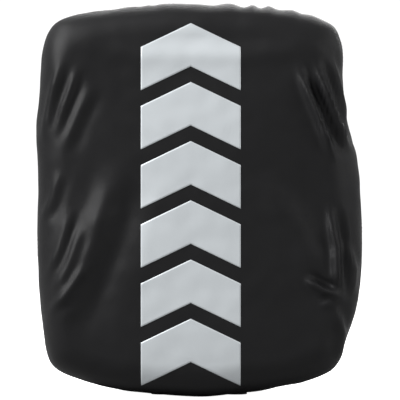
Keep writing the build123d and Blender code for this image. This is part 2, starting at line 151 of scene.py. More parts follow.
# The outline seen from the front, counter-clockwise from the low point, in metres. It leans left at the top.
COVER_OUTLINE = [
    (0, 0.0006), (0.055, 0.0066), (0.098, 0.013), (0.126, 0.0205), (0.148, 0.033), (0.160, 0.060),
    (0.172, 0.100), (0.1775, 0.147), (0.177, 0.205), (0.172, 0.260), (0.162, 0.311), (0.158, 0.355),
    (0.155, 0.390), (0.140, 0.411),
    (0.100, 0.4225), (0.050, 0.4285), (-0.020, 0.4300), (-0.090, 0.4250), (-0.145, 0.4150), (-0.164, 0.400),
    (-0.1715, 0.375), (-0.1745, 0.335), (-0.1780, 0.290), (-0.1760, 0.235), (-0.1775, 0.180),
    (-0.1755, 0.125),
    (-0.171, 0.080), (-0.166, 0.046), (-0.155, 0.030), (-0.128, 0.019), (-0.080, 0.0076),
]  # fmt: skip


def closed_curve(points, count):
    """Evenly spaced points along a smooth closed curve through the points given."""
    p = np.array(points, float)
    dense = []
    for a, b, c, d in zip(np.roll(p, 1, 0), p, np.roll(p, -1, 0), np.roll(p, -2, 0)):
        for t in np.linspace(0, 1, 40, endpoint=False):
            squared = (2 * a - 5 * b + 4 * c - d) * t**2
            cubed = (3 * b - a - 3 * c + d) * t**3
            dense.append(0.5 * (2 * b + (c - a) * t + squared + cubed))
    dense = np.array(dense)
    step = np.linalg.norm(np.roll(dense, -1, 0) - dense, axis=1)
    along = np.concatenate([[0], np.cumsum(step)])
    wanted = np.linspace(0, along[-1], count, endpoint=False)
    ring = np.vstack([dense, dense[:1]])
    even = np.column_stack([np.interp(wanted, along, ring[:, k]) for k in (0, 1)])
    return even, wanted


def soften(values, times):
    """Averages each row of a closed ring with its neighbours."""
    for _ in range(times):
        values = (np.roll(values, 1, 0) + 2 * values + np.roll(values, -1, 0)) / 4
    return values


def inward(ring):
    """Unit normals that point into the ring."""
    run = soften(np.roll(ring, -1, 0) - np.roll(ring, 1, 0), 12)
    normal = np.column_stack([-run[:, 1], run[:, 0]])
    return normal / np.linalg.norm(normal, axis=1)[:, None]


def rounded_opening(targets, half_width, half_height, radius, middle_z):
    """Where rays from the opening's middle towards the targets cross its rounded edge."""
    found = []
    for x, z in targets:
        way = np.array([x, z - middle_z])
        way /= np.linalg.norm(way)
        near, far = 0.0, 0.4
        for _ in range(30):
            mid = (near + far) / 2
            past = np.abs(way * mid) - np.array([half_width - radius, half_height - radius])
            gap = np.linalg.norm(np.maximum(past, 0)) + min(max(past), 0) - radius
            near, far = (mid, far) if gap < 0 else (near, mid)
        found.append(way * near + np.array([0, middle_z]))
    return np.array(found)


def smoothstep(low, high, value):
    t = np.clip((value - low) / (high - low), 0, 1)
    return t * t * (3 - 2 * t)


hem_low, hem_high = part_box("hem_tunnel")
HEM_TUBE = 0.004
hem_half_width = (hem_high.x - hem_low.x) / 2 - HEM_TUBE
hem_half_height = (hem_high.z - hem_low.z) / 2 - HEM_TUBE
hem_middle_z = (hem_high.z + hem_low.z) / 2
hem_y = (hem_high.y + hem_low.y) / 2
HEM_BEND = 0.060

rim, rim_along = closed_curve(COVER_OUTLINE, AROUND)
opening = rounded_opening(rim, hem_half_width, hem_half_height, HEM_BEND, hem_middle_z)

rows = []  # each row: points round the outline, then how far it is into the gathers, 0 to 1


def drawn_in(ring, middle, distance):
    """The ring pulled towards its middle by a distance, without crossing itself at the corners."""
    out = ring - middle
    far = np.linalg.norm(out, axis=1)[:, None]
    return soften(middle + out * (far - distance) / far, 14)


front_edge = drawn_in(rim, MIDDLE, FRONT_ROUND * 1.05)
back_edge = drawn_in(rim, MIDDLE, BACK_ROUND * 1.05)
for r in np.linspace(0.015, 1, 56):
    spot = MIDDLE + (front_edge - MIDDLE) * r
    y = FRONT_Y - 0.006 * (1 - r**2.2)
    rows.append((spot, y, 0.0))
for a in np.radians(np.linspace(0, 90, 15)[1:]):
    spot = front_edge + (rim - front_edge) * math.sin(a)
    rows.append((spot, FRONT_Y + FRONT_ROUND * (1 - math.cos(a)), 0.0))
SIDE_FROM, SIDE_TO = FRONT_Y + FRONT_ROUND, BACK_Y - BACK_ROUND
for t in np.linspace(0, 1, 34)[1:]:
    rows.append((rim, SIDE_FROM + (SIDE_TO - SIDE_FROM) * t, 0.45 * t))
for a in np.radians(np.linspace(0, 90, 10)[1:]):
    into = 0.45 + 0.2 * math.sin(a)
    rows.append((rim + (back_edge - rim) * (1 - math.cos(a)), SIDE_TO + BACK_ROUND * math.sin(a), into))
for t in np.linspace(0, 1, 11)[1:]:
    rows.append((back_edge + (opening - back_edge) * t, BACK_Y + (hem_y - BACK_Y) * t, 0.65 + 0.35 * t))

grid = np.zeros((len(rows), AROUND, 3))
gathered = np.zeros(len(rows))
for i, (spot, y, into) in enumerate(rows):
    grid[i, :, 0] = spot[:, 0]
    grid[i, :, 1] = y
    grid[i, :, 2] = spot[:, 1]
    gathered[i] = into


def grid_normals(g):
    """Outward unit normals of a grid whose columns close on themselves."""
    along = np.gradient(g, axis=0)
    across = np.roll(g, -1, 1) - np.roll(g, 1, 1)
    n = np.cross(along, across)
    return n / np.maximum(np.linalg.norm(n, axis=2, keepdims=True), 1e-9)


normals = grid_normals(grid)
centre_out = grid - np.array([0, 0, 0.215])
if np.sum(normals * centre_out) < 0:
    normals = -normals

# Tension folds on the front, each a line of points (X, Z), with its half-width and height in metres.
# A fold is a soft ridge with a shallow valley on its lower side.
FRONT_FOLDS = [
    ([(-0.081, 0.265), (-0.112, 0.180), (-0.146, 0.095), (-0.160, 0.062)], 0.0150, 0.0052),
    ([(-0.125, 0.195), (-0.140, 0.150), (-0.158, 0.110)], 0.0060, 0.0026),
    ([(-0.136, 0.212), (-0.150, 0.165), (-0.164, 0.128)], 0.0050, 0.0024),
    ([(-0.118, 0.150), (-0.146, 0.110), (-0.163, 0.092)], 0.0050, 0.0022),
    ([(-0.147, 0.372), (-0.160, 0.325), (-0.171, 0.275)], 0.0050, 0.0030),
    ([(-0.128, 0.365), (-0.146, 0.318), (-0.163, 0.275)], 0.0045, 0.0022),
    ([(-0.112, 0.345), (-0.134, 0.300), (-0.150, 0.262)], 0.0060, 0.0016),
    ([(-0.150, 0.250), (-0.160, 0.215), (-0.172, 0.190)], 0.0050, 0.0020),
    ([(0.104, 0.366), (0.124, 0.318), (0.150, 0.252)], 0.0046, 0.0068),
    ([(0.124, 0.370), (0.140, 0.328), (0.163, 0.264)], 0.0044, 0.0058),
    ([(0.140, 0.380), (0.154, 0.335), (0.163, 0.300)], 0.0040, 0.0024),
    ([(0.140, 0.215), (0.149, 0.165), (0.150, 0.104)], 0.0048, 0.0064),
    ([(0.112, 0.132), (0.134, 0.118), (0.154, 0.112)], 0.0042, 0.0048),
    ([(0.128, 0.100), (0.142, 0.104), (0.156, 0.116)], 0.0035, 0.0022),
    ([(0.148, 0.104), (0.156, 0.070), (0.150, 0.036)], 0.0050, 0.0028),
    ([(0.160, 0.176), (0.168, 0.140), (0.165, 0.108)], 0.0045, 0.0022),
    ([(0.060, 0.250), (0.105, 0.180), (0.140, 0.120)], 0.0180, 0.0020),
    ([(-0.150, 0.392), (-0.060, 0.372), (0.050, 0.372), (0.148, 0.384)], 0.0110, 0.0014),
]  # fmt: skip


FOLD_BOLDNESS = 1.5


def fold_height(x, z, line, half_width, height):
    """A ridge along the line, and a valley to the right of its run, both fading out at the ends."""
    total = sum(math.dist(a, b) for a, b in zip(line, line[1:]))
    best = np.full(x.shape, 9.0)
    signed = np.zeros(x.shape)
    place = np.zeros(x.shape)
    gone = 0.0
    for (ax, az), (bx, bz) in zip(line, line[1:]):
        ux, uz = bx - ax, bz - az
        length = math.hypot(ux, uz)
        ux, uz = ux / length, uz / length
        t = np.clip((x - ax) * ux + (z - az) * uz, 0, length)
        away = np.hypot(x - ax - ux * t, z - az - uz * t)
        side = (x - ax) * uz - (z - az) * ux
        nearer = away < best
        best = np.where(nearer, away, best)
        signed = np.where(nearer, np.where(side >= 0, away, -away), signed)
        place = np.where(nearer, (gone + t) / total, place)
        gone += length
    fade = smoothstep(0, 0.35, place) * (1 - smoothstep(0.7, 1.0, place))
    ridge = np.exp(-((signed / half_width) ** 2))
    valley = np.exp(-(((signed + 1.7 * half_width) / (1.2 * half_width)) ** 2))
    near = np.exp(-((np.maximum(best - 3 * half_width, 0) / half_width) ** 2))
    return height * fade * near * (ridge - 0.55 * valley)


def ripple(points, scale, seed):
    """Smooth noise from -1 to 1 at each point."""
    flat = points.reshape(-1, 3) * scale + seed
    return np.array([noise.noise(Vector(p)) for p in flat]).reshape(points.shape[:-1])


X, Y, Z = grid[..., 0], grid[..., 1], grid[..., 2]
on_front = 1 - smoothstep(-0.075, -0.035, Y)
push = np.zeros(X.shape)
for line, half_width, height in FRONT_FOLDS:
    push += on_front * fold_height(X, Z, line, half_width, height * FOLD_BOLDNESS)

# Gathers: pleats that start at the hem, each a little different, and fade out over the sides and the top.
turn = rim_along / (rim_along[-1] + rim_along[1]) * 2 * math.pi
uneven = np.array([noise.noise(Vector((math.cos(a) * 2.2, math.sin(a) * 2.2, 3.1))) for a in turn])
ragged = np.array([noise.noise(Vector((math.cos(a) * 5.2, math.sin(a) * 5.2, 9.4))) for a in turn])
narrow_pleat = np.sin(57 * turn + 7.5 * uneven + 3 * ragged) * 0.65
wide_pleat = np.sin(36 * turn + 6 * np.roll(ragged, 60)) * 0.55
pleat = narrow_pleat + wide_pleat
tallness = 0.75 + 0.5 * np.array([noise.noise(Vector((math.cos(a) * 4, math.sin(a) * 4, 7.7))) for a in turn])
over_top = smoothstep(0.38, 0.42, rim[:, 1])
reach = smoothstep(0.08, 1.0, gathered)[:, None] * np.ones(AROUND)
reach = np.maximum(reach, smoothstep(0.0, 0.4, gathered)[:, None] * 0.26 * over_top)
push += 0.0034 * reach * pleat * tallness
pucker_here = over_top * smoothstep(-0.10, 0.02, rim[:, 0])
front_pucker = np.exp(-(((Y + 0.062) / 0.018) ** 2)) * pucker_here
push += 0.0013 * front_pucker * np.sin(44 * turn + 8 * np.roll(ragged, 30)) * (1 + 1.5 * np.roll(uneven, 90))

# Slack in the side band: slanting wrinkles, and small dents all over.
slant = grid.copy()
slant[..., 1] = Y * 0.55 + Z * 0.35
slant[..., 2] = Z * 0.45
on_side = smoothstep(-0.085, -0.04, Y) * (1 - smoothstep(0.05, 0.095, Y))
sharp = 1 - np.abs(ripple(slant, 26, 4.0)) * 2.4
push += 0.0030 * on_side * np.clip(sharp, -0.4, 1) * (0.6 + 0.4 * ripple(grid, 9, 1.0))
push += 0.0016 * ripple(grid, 14, 11.0) + 0.0005 * ripple(grid, 55, 2.0)

# The seam round the front panel pulls in.
PANEL_SEAM_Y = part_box("cover_front_panel")[1].y
push -= 0.0012 * np.exp(-(((Y - PANEL_SEAM_Y) / 0.0028) ** 2))

free_to_move = smoothstep(0.0, 0.012, Z) * 0.85 + 0.15  # little where the cover rests on the floor
cloth = grid + normals * (push * free_to_move)[..., None]
cloth[..., 2] = np.maximum(cloth[..., 2], 0.0002)
COVER_CLOTH = 0.0009
hem_from = cloth[-1].copy()


def ring_skin(name, rings, close_end=False):
    """A skin through rings of points, closed with a fan at the start, and at the end if asked."""
    count, around = rings.shape[:2]
    corners = rings.reshape(-1, 3).tolist()
    quads = []
    for i in range(count - 1):
        for j in range(around):
            k = (j + 1) % around
            quads.append((i * around + j, i * around + k, (i + 1) * around + k, (i + 1) * around + j))
    for end in (0, count - 1) if close_end else (0,):
        corners.append(tuple(rings[end].mean(0)))
        hub, first = len(corners) - 1, end * around
        quads += [(hub, first + (j + 1) % around, first + j) for j in range(around)]
    data = bpy.data.meshes.new(name)
    data.from_pydata(corners, [], quads)
    made = bpy.data.objects.new(name, data)
    bpy.context.collection.objects.link(made)
    whole = bmesh.new()
    whole.from_mesh(data)
    bmesh.ops.recalc_face_normals(whole, faces=whole.faces)
    middle = sum((f.calc_center_median() for f in whole.faces), Vector()) / len(whole.faces)
    if sum(f.normal.dot(f.calc_center_median() - middle) * f.calc_area() for f in whole.faces) < 0:
        bmesh.ops.reverse_faces(whole, faces=whole.faces)
    whole.to_mesh(data)
    whole.free()
    data.shade_smooth()
    return made


def finish_with(piece, kind, **settings):
    """Adds a modifier and applies it."""
    bpy.context.view_layer.objects.active = piece
    modifier = piece.modifiers.new(kind, kind)
    for key, value in settings.items():
        setattr(modifier, key, value)
    bpy.ops.object.modifier_apply(modifier=modifier.name)


def seat(piece, body, *nodes, slot=None):
    """The piece moves with the body and stands for the CAD nodes; slot is not used."""
    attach(piece, body)
    if nodes:
        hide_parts(*nodes)


cover = ring_skin("cover_cloth", cloth)
finish_with(cover, "SOLIDIFY", thickness=COVER_CLOTH, offset=-1)
cover.data.shade_smooth()
seat(cover, "rain_cover", "cover_front_panel", "cover_side_band", "cover_gathered_skirt", slot="cover_cloth")

# Cloth relief shared by every woven piece: two crossed sets of threads, given as a height.
weave = bpy.data.node_groups.new("crossed_threads", "ShaderNodeTree")
for socket, default in (("Threads per metre", 1800.0), ("Slubs", 0.25)):
    made = weave.interface.new_socket(socket, in_out="INPUT", socket_type="NodeSocketFloat")
    made.default_value = default
weave.interface.new_socket("Height", in_out="OUTPUT", socket_type="NodeSocketFloat")
weave.interface.new_socket("Tint", in_out="OUTPUT", socket_type="NodeSocketFloat")


def add(tree, kind, **settings):
    node = tree.nodes.new(kind)
    for key, value in settings.items():
        setattr(node, key, value)
    return node


def math_node(tree, operation, first, second):
    node = add(tree, "ShaderNodeMath", operation=operation)
    for slot_at, value in enumerate((first, second)):
        if isinstance(value, (int, float)):
            node.inputs[slot_at].default_value = value
        else:
            tree.links.new(value, node.inputs[slot_at])
    return node.outputs[0]


group_in, group_out = add(weave, "NodeGroupInput"), add(weave, "NodeGroupOutput")
place = add(weave, "ShaderNodeTexCoord")
split = add(weave, "ShaderNodeSeparateXYZ")
weave.links.new(place.outputs["Object"], split.inputs[0])
ways = []
for first, second in (("X", "Y"), ("Z", "Y")):
    run = math_node(weave, "ADD", split.outputs[first], split.outputs[second])
    turns = math_node(weave, "MULTIPLY", run, group_in.outputs["Threads per metre"])
    ways.append(math_node(weave, "SINE", math_node(weave, "MULTIPLY", turns, math.pi), 0))
crossed = math_node(weave, "MULTIPLY", ways[0], ways[1])
slub = add(weave, "ShaderNodeTexNoise")
slub.inputs["Scale"].default_value = 220
slub.inputs["Detail"].default_value = 4
weave.links.new(place.outputs["Object"], slub.inputs["Vector"])
lumps = math_node(weave, "MULTIPLY", slub.outputs["Fac"], group_in.outputs["Slubs"])
weave.links.new(math_node(weave, "ADD", crossed, lumps), group_out.inputs["Height"])
wide = add(weave, "ShaderNodeTexNoise")
wide.inputs["Scale"].default_value = 14
wide.inputs["Detail"].default_value = 5
weave.links.new(place.outputs["Object"], wide.inputs["Vector"])
weave.links.new(wide.outputs["Fac"], group_out.inputs["Tint"])


def cloth_finish(name, colour, roughness, threads, relief, slubs=0.25, specular=0.3, sheen=0.0, uneven=0.25):
    """Woven cloth: the colour varies a little, and the threads stand up as a fine relief."""
    made = bpy.data.materials.new(name)
    made.use_nodes = True
    tree = made.node_tree
    shader = tree.nodes["Principled BSDF"]
    shader.inputs["Specular IOR Level"].default_value = specular
    shader.inputs["Sheen Weight"].default_value = sheen
    shader.inputs["Sheen Roughness"].default_value = 0.4
    cloth_node = add(tree, "ShaderNodeGroup", node_tree=weave)
    cloth_node.inputs["Threads per metre"].default_value = threads
    cloth_node.inputs["Slubs"].default_value = slubs
    tints = add(tree, "ShaderNodeMapRange")
    tints.inputs["From Min"].default_value = 0.3
    tints.inputs["From Max"].default_value = 0.7
    tree.links.new(cloth_node.outputs["Tint"], tints.inputs["Value"])
    blend = add(tree, "ShaderNodeMix", data_type="RGBA")
    blend.inputs["A"].default_value = (*[c * (1 - uneven) for c in colour], 1)
    blend.inputs["B"].default_value = (*[min(1, c * (1 + uneven)) for c in colour], 1)
    tree.links.new(tints.outputs["Result"], blend.inputs["Factor"])
    tree.links.new(blend.outputs["Result"], shader.inputs["Base Color"])
    shine = add(tree, "ShaderNodeMapRange")
    shine.inputs["To Min"].default_value = roughness - 0.06
    shine.inputs["To Max"].default_value = roughness + 0.06
    tree.links.new(cloth_node.outputs["Tint"], shine.inputs["Value"])
    tree.links.new(shine.outputs["Result"], shader.inputs["Roughness"])
    bump = add(tree, "ShaderNodeBump")
    bump.inputs["Strength"].default_value = 1.0
    bump.inputs["Distance"].default_value = relief
    tree.links.new(cloth_node.outputs["Height"], bump.inputs["Height"])
    tree.links.new(bump.outputs["Normal"], shader.inputs["Normal"])
    return made


def paint(piece, material):
    """Gives the whole piece one material."""
    if not piece.material_slots:
        piece.data.materials.append(material)
    for held in piece.material_slots:
        held.material = material


NYLON_BLACK = (0.0062, 0.0062, 0.0068)
nylon = cloth_finish(
    "coated_nylon", NYLON_BLACK, 0.44, 2600, 0.00004, slubs=1.6, specular=0.19, uneven=0.12
)
paint(cover, nylon)

# ---- Panel seam stitching -----------------------------------------------------------------------------
# The front panel is sewn to the side band with one row of black polyester thread, about 4 mm a stitch, that
# lies in the pulled-in seam all round. Each stitch is a small spindle.
STITCH = 0.0030
STITCH_GAP = 0.0012
THREAD = 0.00035


def stitch_row(name, route, outward, closed=False, lift=0.0003):
    """Spindle stitches along a route of points, standing off along the outward directions."""
    route = np.array(route, float)
    outward = np.array(outward, float)
    if closed:
        route, outward = np.vstack([route, route[:1]]), np.vstack([outward, outward[:1]])
    step = np.linalg.norm(np.diff(route, axis=0), axis=1)
    along = np.concatenate([[0], np.cumsum(step)])
    starts = np.arange(0, along[-1] - STITCH, STITCH + STITCH_GAP)

    def at(distance, values):
        return np.column_stack([np.interp(distance, along, values[:, k]) for k in range(3)])

    heads, tails, off = at(starts, route), at(starts + STITCH, route), at(starts + STITCH / 2, outward)
    corners, fans = [], []
    for head, tail, up in zip(heads, tails, off):
        up = up / np.linalg.norm(up)
        way = (tail - head) / np.linalg.norm(tail - head)
        side = np.cross(way, up)
        mid = (head + tail) / 2 + up * lift
        base = len(corners)
        corners += [head, tail]
        corners += [mid + side * THREAD, mid + up * THREAD, mid - side * THREAD, mid - up * THREAD]
        for a, b in ((2, 3), (3, 4), (4, 5), (5, 2)):
            fans += [(base, base + a, base + b), (base + 1, base + b, base + a)]
    data = bpy.data.meshes.new(name)
    data.from_pydata([tuple(c) for c in corners], [], fans)
    made = bpy.data.objects.new(name, data)
    bpy.context.collection.objects.link(made)
    data.shade_smooth()
    return made


thread = cloth_finish("polyester_thread", (0.03, 0.03, 0.032), 0.45, 4000, 0.00002, specular=0.5)
seam_row = int(np.argmin(np.abs(grid[:, 0, 1] - (PANEL_SEAM_Y + 0.004))))
panel_stitches = stitch_row("panel_seam_stitches", cloth[seam_row], normals[seam_row], closed=True)
seat(panel_stitches, "rain_cover", slot="cover_cloth")
paint(panel_stitches, thread)

# ---- Reflective chevrons ------------------------------------------------------------------------------
# Six chevrons of silver reflective film, heat-pressed on the front panel in one upright column left of the
# middle. They follow the cloth under them and are a quarter of a millimetre thick.
film_low, film_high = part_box("reflective_chevrons")
FILM_COUNT = 6
FILM_RISE = 0.026
FILM_PITCH = 0.064
FILM_BAND = 0.047
FILM_LIFT = 0.0005
film_middle = (film_low.x + film_high.x) / 2
film_half = (film_high.x - film_low.x) / 2
bpy.context.view_layer.update()
chevrons = []
for n in range(FILM_COUNT):
    bpy.ops.mesh.primitive_grid_add(x_subdivisions=60, y_subdivisions=24, size=2)
    band = bpy.context.object
    band.name = f"chevron_{n + 1}"
    for v in band.data.vertices:
        rise = FILM_RISE * (1 - abs(v.co.x))
        z = film_low.z + n * FILM_PITCH + rise + FILM_BAND * (v.co.y + 1) / 2
        x = film_middle + film_half * v.co.x
        _, spot, facing, _ = cover.ray_cast(Vector((x, -0.4, z)), Vector((0, 1, 0)))
        v.co = spot + facing * FILM_LIFT
    finish_with(band, "SOLIDIFY", thickness=0.00025, offset=-1)
    band.data.shade_smooth()
    chevrons.append(band)
film = bpy.data.materials.new("reflective_film")
film.use_nodes = True
shader = film.node_tree.nodes["Principled BSDF"]
shader.inputs["Base Color"].default_value = (0.50, 0.53, 0.55, 1)
shader.inputs["Metallic"].default_value = 0.25
beads = add(film.node_tree, "ShaderNodeTexNoise")
beads.inputs["Scale"].default_value = 900
shift = add(film.node_tree, "ShaderNodeMapRange")
shift.inputs["To Min"].default_value = 0.36
shift.inputs["To Max"].default_value = 0.50
film.node_tree.links.new(beads.outputs["Fac"], shift.inputs["Value"])
film.node_tree.links.new(shift.outputs["Result"], shader.inputs["Roughness"])
coords = add(film.node_tree, "ShaderNodeTexCoord")
film.node_tree.links.new(coords.outputs["Object"], beads.inputs["Vector"])
for band in chevrons:
    seat(band, "rain_cover", slot="film")
    paint(band, film)
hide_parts("reflective_chevrons")

# ---- Elastic hem --------------------------------------------------------------------------------------
# The cover's edge is folded into a narrow casing that bunches up along a 3 mm braided elastic. The casing is
# open for 30 mm at the bottom, where two pressed eyelets let the elastic out to the cord lock.
HEM_OPEN_HALF = 0.0155
TUBE_SIDES = 14
hem_at = hem_from.copy()
tube_rings = []
for j in range(AROUND):
    squeeze = 1 + 0.20 * pleat[j] * tallness[j]
    out_way = np.array([hem_at[j, 0], 0, hem_at[j, 2] - hem_middle_z])
    out_way /= np.linalg.norm(out_way)
    ring = []
    for k in range(TUBE_SIDES):
        a = 2 * math.pi * k / TUBE_SIDES
        ring.append(
            np.array([opening[j, 0], hem_y, opening[j, 1]])
            + out_way * math.cos(a) * HEM_TUBE * squeeze
            + np.array([0, 1, 0]) * (math.sin(a) * HEM_TUBE * (2 - squeeze) + 0.0007 * pleat[j])
        )
    tube_rings.append(ring)
tube_rings = np.array(tube_rings)
at_bottom = (np.abs(opening[:, 0]) < HEM_OPEN_HALF) & (opening[:, 1] < hem_middle_z)
kept = [j for j in range(AROUND) if not at_bottom[j]]  # the first point is at the bottom, in the opening
casing = ring_skin("hem_casing", tube_rings[kept], close_end=True)
seat(casing, "rain_cover", "hem_tunnel", slot="cover_cloth")
paint(casing, nylon)


def dress(material, *names):
    """Gives CAD nodes that keep their shape their finish."""
    for node_name in names:
        paint(frame["nodes"][node_name], material)


def metal_finish(name, colour, roughness, worn=0.06):
    made = bpy.data.materials.new(name)
    made.use_nodes = True
    tree = made.node_tree
    shader = tree.nodes["Principled BSDF"]
    shader.inputs["Base Color"].default_value = (*colour, 1)
    shader.inputs["Metallic"].default_value = 1.0
    rub = add(tree, "ShaderNodeTexNoise")
    rub.inputs["Scale"].default_value = 160
    rub.inputs["Detail"].default_value = 6
    where = add(tree, "ShaderNodeTexCoord")
    tree.links.new(where.outputs["Object"], rub.inputs["Vector"])
    spread = add(tree, "ShaderNodeMapRange")
    spread.inputs["To Min"].default_value = roughness - worn
    spread.inputs["To Max"].default_value = roughness + worn
    tree.links.new(rub.outputs["Fac"], spread.inputs["Value"])
    tree.links.new(spread.outputs["Result"], shader.inputs["Roughness"])
    return made


def moulded_finish(name, colour, roughness, grain=0.00003, specular=0.5):
    """Moulded plastic or rubber with the fine spark-eroded grain of its mould."""
    made = bpy.data.materials.new(name)
    made.use_nodes = True
    tree = made.node_tree
    shader = tree.nodes["Principled BSDF"]
    shader.inputs["Base Color"].default_value = (*colour, 1)
    shader.inputs["Specular IOR Level"].default_value = specular
    where = add(tree, "ShaderNodeTexCoord")
    spark = add(tree, "ShaderNodeTexNoise")
    spark.inputs["Scale"].default_value = 1400
    spark.inputs["Detail"].default_value = 3
    tree.links.new(where.outputs["Object"], spark.inputs["Vector"])
    rubbed = add(tree, "ShaderNodeTexNoise")
    rubbed.inputs["Scale"].default_value = 70
    tree.links.new(where.outputs["Object"], rubbed.inputs["Vector"])
    spread = add(tree, "ShaderNodeMapRange")
    spread.inputs["To Min"].default_value = roughness - 0.08
    spread.inputs["To Max"].default_value = roughness + 0.08
    tree.links.new(rubbed.outputs["Fac"], spread.inputs["Value"])
    tree.links.new(spread.outputs["Result"], shader.inputs["Roughness"])
    bump = add(tree, "ShaderNodeBump")
    bump.inputs["Distance"].default_value = grain
    tree.links.new(spark.outputs["Fac"], bump.inputs["Height"])
    tree.links.new(bump.outputs["Normal"], shader.inputs["Normal"])
    return made


braid = cloth_finish("braided_elastic", (0.035, 0.035, 0.037), 0.6, 1500, 0.00012, specular=0.3)
nickel = metal_finish("black_nickel", (0.13, 0.13, 0.135), 0.28)
acetal = moulded_finish("black_acetal", (0.018, 0.018, 0.019), 0.42)
spring_steel = metal_finish("spring_steel", (0.55, 0.55, 0.56), 0.25)
dress(braid, "hem_elastic")
dress(nickel, "hem_eyelets")
dress(acetal, "cord_lock_barrel", "cord_lock_plunger", "cord_end_clip")
dress(spring_steel, "cord_lock_spring")
# The spring is given a mesh of its own; it is not shortened here.
spring = frame["nodes"]["cord_lock_spring"]
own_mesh(spring)

# ---- Bag body -----------------------------------------------------------------------------------------
# The bag itself: coarse black polyester over 4 mm foam, packed full, so that each wall bulges a little. Its
# bottom is wrapped in a coated boot with four moulded feet, and vinyl piping covers the corner seams.
def outline_of(node_name, count=300):
    """The node's outline seen from the front, as an even ring."""
    corners = {(round(v.co.x, 5), round(v.co.z, 5)) for v in frame["nodes"][node_name].data.vertices}
    corners = sorted(corners)

    def half(points):
        kept_points = []
        for p in points:
            while len(kept_points) > 1:
                (ax, az), (bx, bz) = kept_points[-2:]
                if (bx - ax) * (p[1] - az) - (bz - az) * (p[0] - ax) > 0:
                    break
                kept_points.pop()
            kept_points.append(p)
        return kept_points[:-1]

    hull = np.array(half(corners) + half(corners[::-1]))
    step = np.linalg.norm(np.roll(hull, -1, 0) - hull, axis=1)
    along = np.concatenate([[0], np.cumsum(step)])
    hull = np.vstack([hull, hull[:1]])
    wanted = np.linspace(0, along[-1], count, endpoint=False)
    return np.column_stack([np.interp(wanted, along, hull[:, k]) for k in (0, 1)])


shell_low, shell_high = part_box("bag_shell")
top_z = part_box("bag_top_panel")[1].z
CROWN_ABOVE_TOP = 0.009  # how much the flat top takes off the bag's crown
bag_outline = soften(outline_of("cover_front_panel", 288), 2)
bag_outline[:, 0] *= shell_high.x / cover_high.x
bag_outline[:, 1] = shell_low.z + bag_outline[:, 1] * (top_z + CROWN_ABOVE_TOP - shell_low.z) / cover_high.z


def packed_form(name, outline, y_front, y_back, front_round, back_round, crown, slack):
    """A closed packed form: front, rounded edges, sides and back, with slack as small dents."""
    facing = inward(outline)
    middle = outline.mean(0)
    layers = []
    front = drawn_in(outline, middle, front_round)
    back = drawn_in(outline, middle, back_round)
    for r in np.linspace(0.02, 1, 36):
        layers.append((middle + (front - middle) * r, y_front - crown * (1 - r**2)))
    for a in np.radians(np.linspace(0, 90, 9)[1:]):
        layers.append((front + (outline - front) * math.sin(a), y_front + front_round * (1 - math.cos(a))))
    for t in np.linspace(0, 1, 22)[1:]:
        bulge = 0.0012 * math.sin(math.pi * t)
        y = y_front + front_round + (y_back - y_front - front_round - back_round) * t
        layers.append((outline - facing * bulge, y))
    for a in np.radians(np.linspace(0, 90, 8)[1:]):
        ring = outline + (back - outline) * (1 - math.cos(a))
        layers.append((ring, y_back - back_round * (1 - math.sin(a))))
    for r in np.linspace(1, 0.03, 24)[1:]:
        layers.append((middle + (back - middle) * r, y_back))
    rings = np.array([np.column_stack([spot[:, 0], np.full(len(spot), y), spot[:, 1]]) for spot, y in layers])
    faces_out = grid_normals(rings)
    if np.sum(faces_out * (rings - rings.reshape(-1, 3).mean(0))) < 0:
        faces_out = -faces_out
    dents = slack * ripple(rings, 16, 21.0) + slack * 0.5 * ripple(rings, 42, 5.0)
    flat_back = 1 - smoothstep(y_back - 0.02, y_back - 0.004, rings[..., 1]) * 0.9
    flat_top = 1 - smoothstep(top_z - 0.012, top_z - 0.002, rings[..., 2]) * 0.95
    rings = rings + faces_out * (dents * flat_back * flat_top)[..., None]
    rings[..., 2] = np.minimum(rings[..., 2], top_z)
    return ring_skin(name, rings, close_end=True)


bag = packed_form("bag_body", bag_outline, shell_low.y, shell_high.y, 0.030, 0.020, 0.0, 0.0007)
seat(bag, "bag", "bag_shell", "bag_top_panel", slot="bag_cloth")
POLYESTER_BLACK = (0.022, 0.022, 0.024)
polyester = cloth_finish(
    "coarse_polyester", POLYESTER_BLACK, 0.75, 1100, 0.00022, slubs=0.6, specular=0.25, sheen=0.05
)
paint(bag, polyester)
dress(cloth_finish("grey_lining", (0.19, 0.2, 0.21), 0.7, 3000, 0.00003), "bag_lining")
boot_cloth = moulded_finish("coated_boot_cloth", (0.016, 0.016, 0.017), 0.5, grain=0.0001)
dress(boot_cloth, "base_boot")
dress(moulded_finish("moulded_rubber", (0.013, 0.013, 0.013), 0.62), "base_feet")
dress(moulded_finish("vinyl_piping", (0.022, 0.022, 0.023), 0.35), "front_piping", "back_piping")
dress(moulded_finish("stiffener_board", (0.05, 0.05, 0.05), 0.55), "base_board", "frame_sheet")

